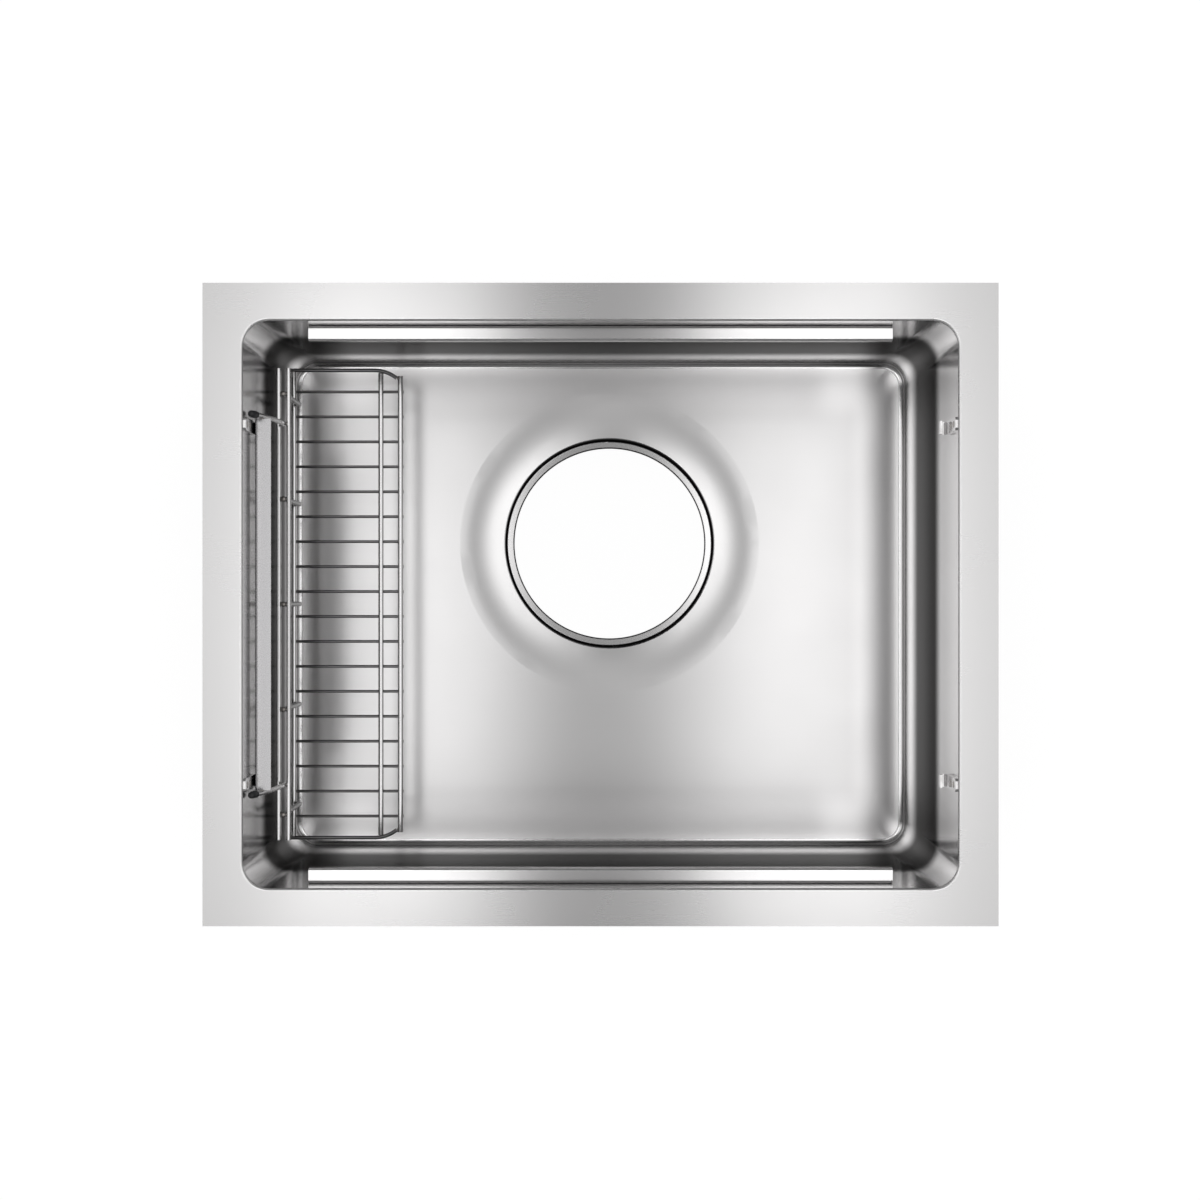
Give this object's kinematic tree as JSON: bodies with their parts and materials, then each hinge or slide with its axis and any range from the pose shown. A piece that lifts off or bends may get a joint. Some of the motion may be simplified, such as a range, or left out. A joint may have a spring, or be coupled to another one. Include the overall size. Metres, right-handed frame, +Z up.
{
  "type": "kitchen sink",
  "caption": "Single-bowl stainless undermount kitchen sink with a large off-centre drain hole, front and back ledge rails, and a hooked wire rack that lifts off.",
  "frame": {"origin": "centre of the bounding box in plan, on the plane of the lowest face, the underside of the drain recess", "axes": "+X to the right, +Y to the back wall, +Z up, as the sink is used"},
  "size_m": [0.6, 0.485, 0.1998],
  "materials": {
    "wall_steel": "satin drawn sheet, a little glossier than the floor",
    "floor_steel": "fine satin sheet",
    "flange_steel": "fine satin sheet",
    "rail_steel": "hairline brushed along its length",
    "hook_steel": "polished strip",
    "strip_steel": "polished strip",
    "wire_steel": "electropolished round wire",
    "damping_rubber": "matt",
    "tip_rubber": "matt moulded"
  },
  "bodies": {
    "sink": {"bowl_wall": "wall_steel", "bowl_floor": "floor_steel", "drain_recess": "floor_steel", "flange": "flange_steel", "back_rail": "rail_steel", "front_rail": "rail_steel", "left_rear_hook": "hook_steel", "left_front_hook": "hook_steel", "right_rear_hook": "hook_steel", "right_front_hook": "hook_steel", "left_pad": "damping_rubber", "right_pad": "damping_rubber", "front_pad": "damping_rubber"},
    "rack": {"hanger_strip": "strip_steel", "rear_arm": "wire_steel", "front_arm": "wire_steel", "rear_arm_tip": "tip_rubber", "front_arm_tip": "tip_rubber", "outer_bar": "wire_steel", "inner_bar": "wire_steel", "tray_back_rail": "wire_steel", "tray_inner_rail": "wire_steel", "tray_front_rail": "wire_steel", "rear_end_wire": "wire_steel", "front_end_wire": "wire_steel", "upright_1": "wire_steel", "upright_2": "wire_steel", "upright_3": "wire_steel", "upright_4": "wire_steel", "upright_5": "wire_steel", "cross_wire_1": "wire_steel", "cross_wire_2": "wire_steel", "cross_wire_3": "wire_steel", "cross_wire_4": "wire_steel", "cross_wire_5": "wire_steel", "cross_wire_6": "wire_steel", "cross_wire_7": "wire_steel", "cross_wire_8": "wire_steel", "cross_wire_9": "wire_steel", "cross_wire_10": "wire_steel", "cross_wire_11": "wire_steel", "cross_wire_12": "wire_steel", "cross_wire_13": "wire_steel", "cross_wire_14": "wire_steel", "cross_wire_15": "wire_steel", "cross_wire_16": "wire_steel", "cross_wire_17": "wire_steel", "cross_wire_18": "wire_steel"}
  },
  "joints": [
    {"name": "rack_lift", "type": "slide", "parent": "sink", "child": "rack", "axis": [0, 0, 1], "range_m": [0, 0.2]}
  ]
}
